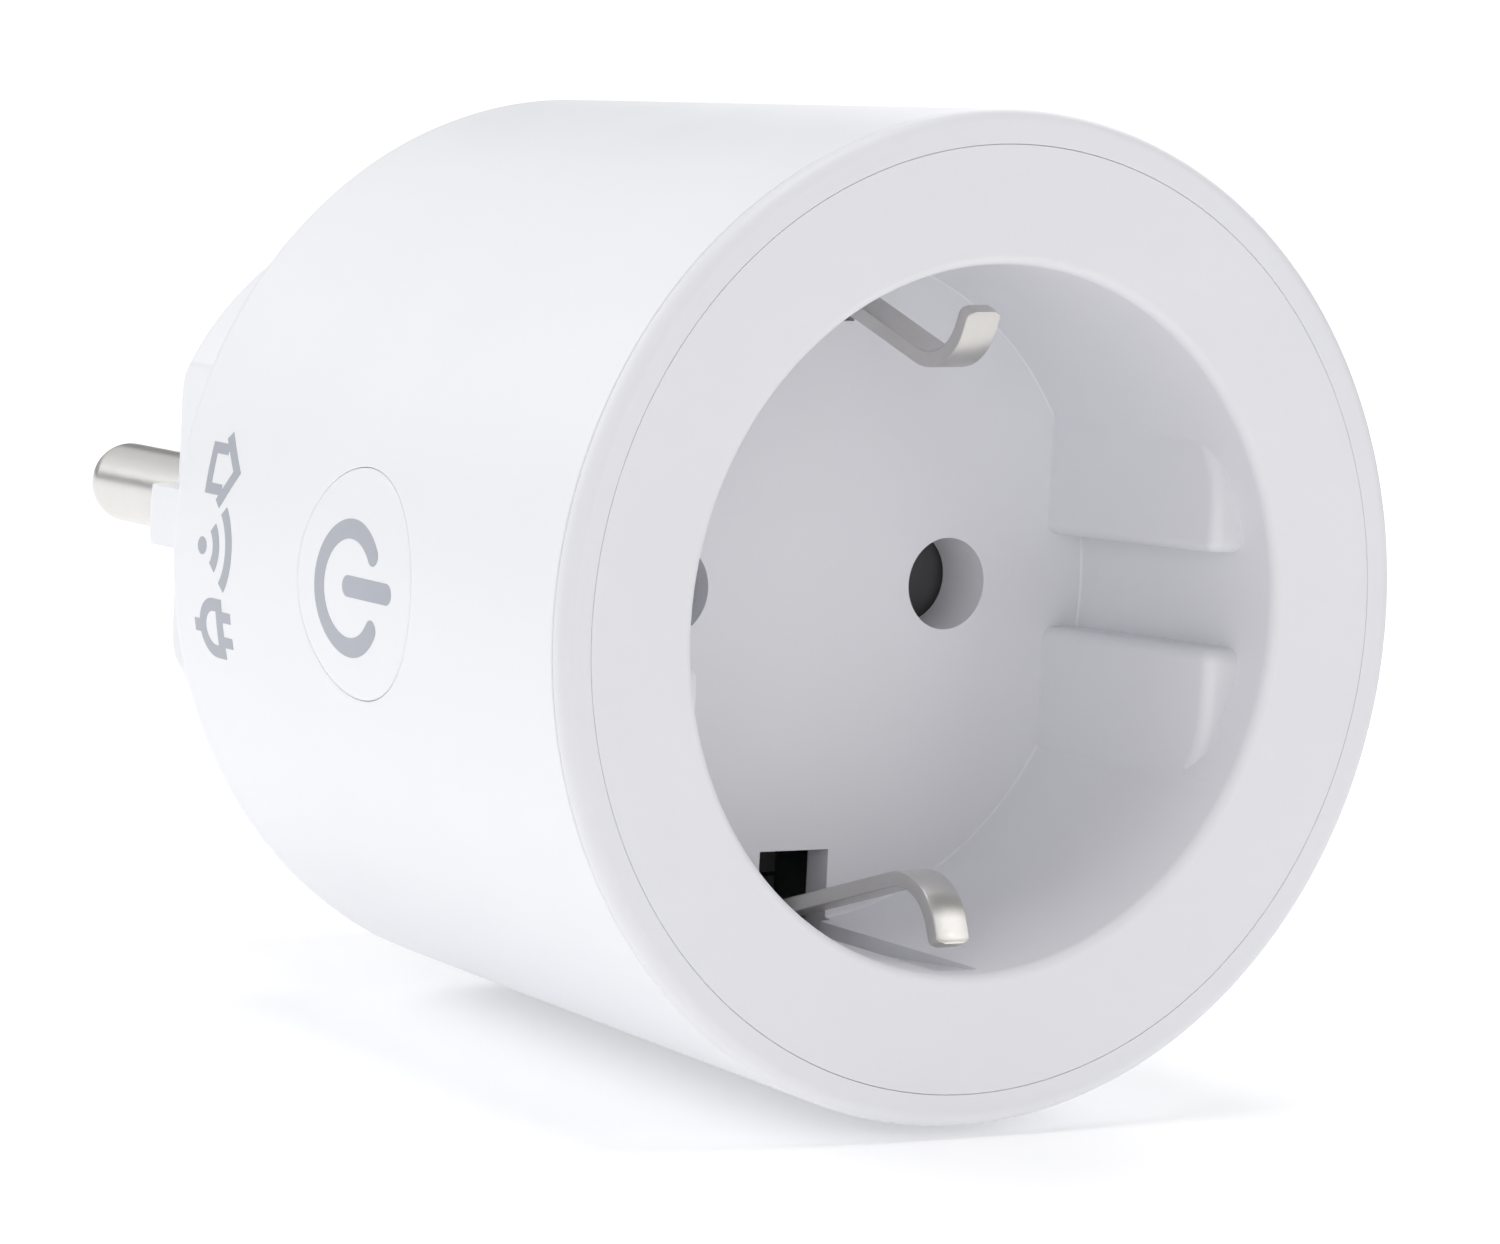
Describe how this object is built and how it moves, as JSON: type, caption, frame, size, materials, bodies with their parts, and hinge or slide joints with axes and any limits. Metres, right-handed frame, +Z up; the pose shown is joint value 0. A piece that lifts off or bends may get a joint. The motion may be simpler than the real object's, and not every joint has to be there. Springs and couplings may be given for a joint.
{
  "type": "smart plug",
  "caption": "round tapered mains smart plug with a recessed socket well, spring earth clips, a turning safety shutter, a side push button and a plug nose with round pins",
  "frame": {"origin": "centre of the plug nose's flat end face, on material midway between the two pins", "axes": "+Z up with the button at mid-height, +Y towards the wall along the pins, -Y out of the socket face, -X the side with the button"},
  "size_m": [0.056, 0.079, 0.056],
  "materials": {
    "white_shell": "fine satin white moulding",
    "white_insert": "matte light grey-white moulding",
    "nickel": "nickel-plated, satin",
    "brass": "bare stamped brass",
    "spring_steel": "plain spring steel",
    "board_green": "green solder mask",
    "black_plastic": "moulded black",
    "dark_plastic": "moulded dark grey",
    "relay_blue": "glossy blue case",
    "varistor_blue": "glossy dipped coating",
    "led_lens": "clear lens"
  },
  "bodies": {
    "housing": {"board_header": "black_plastic", "board_screw_1": "spring_steel", "board_screw_2": "spring_steel", "board_screw_3": "spring_steel", "board_screw_4": "spring_steel", "body_shell": "white_shell", "bridge_rectifier": "black_plastic", "buck_converter": "black_plastic", "button_board": "board_green", "capacitor_large": "black_plastic", "capacitor_small": "black_plastic", "contact_housing_live": "white_insert", "contact_housing_neutral": "white_insert", "contact_live": "brass", "contact_neutral": "brass", "earth_bridge": "nickel", "earth_pin_contact": "brass", "earth_strap_bottom": "nickel", "earth_strap_top": "nickel", "front_ring": "white_insert", "main_board": "board_green", "metering_chip": "black_plastic", "pin_live": "nickel", "pin_neutral": "nickel", "plug_base": "white_shell", "power_inductor": "black_plastic", "radio_board": "board_green", "radio_shield": "spring_steel", "relay": "relay_blue", "shunt_resistor": "spring_steel", "shutter_retainer": "spring_steel", "shutter_spring": "spring_steel", "socket_insert": "white_insert", "status_led": "led_lens", "switch_body": "black_plastic", "varistor": "varistor_blue"},
    "button": {"button_cap": "white_shell"},
    "switch_key": {"switch_plunger": "dark_plastic"},
    "shutter": {"safety_shutter": "dark_plastic"},
    "clip_top": {"earth_clip_top": "nickel"},
    "clip_bottom": {"earth_clip_bottom": "nickel"}
  },
  "joints": [
    {"name": "button_press", "type": "slide", "parent": "housing", "child": "button", "axis": [1, 0, 0], "range_m": [0, 0.0006], "stiffness_N_per_m": 1200, "springref_m": -0.0007},
    {"name": "switch_press", "type": "slide", "parent": "housing", "child": "switch_key", "axis": [1, 0, 0], "range_m": [0, 0.0007]},
    {"name": "shutter_turn", "type": "hinge", "parent": "housing", "child": "shutter", "pos_m": [0, -0.0375, 0], "axis": [0, 1, 0], "range_deg": [0, 38], "stiffness_Nm_per_rad": 0.01, "springref_deg": -22.92},
    {"name": "clip_top_flex", "type": "hinge", "parent": "housing", "child": "clip_top", "pos_m": [0, -0.0374, 0.01908], "axis": [-1, 0, 0], "range_deg": [0, 3], "stiffness_Nm_per_rad": 1},
    {"name": "clip_bottom_flex", "type": "hinge", "parent": "housing", "child": "clip_bottom", "pos_m": [0, -0.0374, -0.01973], "axis": [1, 0, 0], "range_deg": [0, 3], "stiffness_Nm_per_rad": 1}
  ],
  "couplings": [
    {"joint": "switch_press", "follows": "button_press", "ratio": 1}
  ]
}
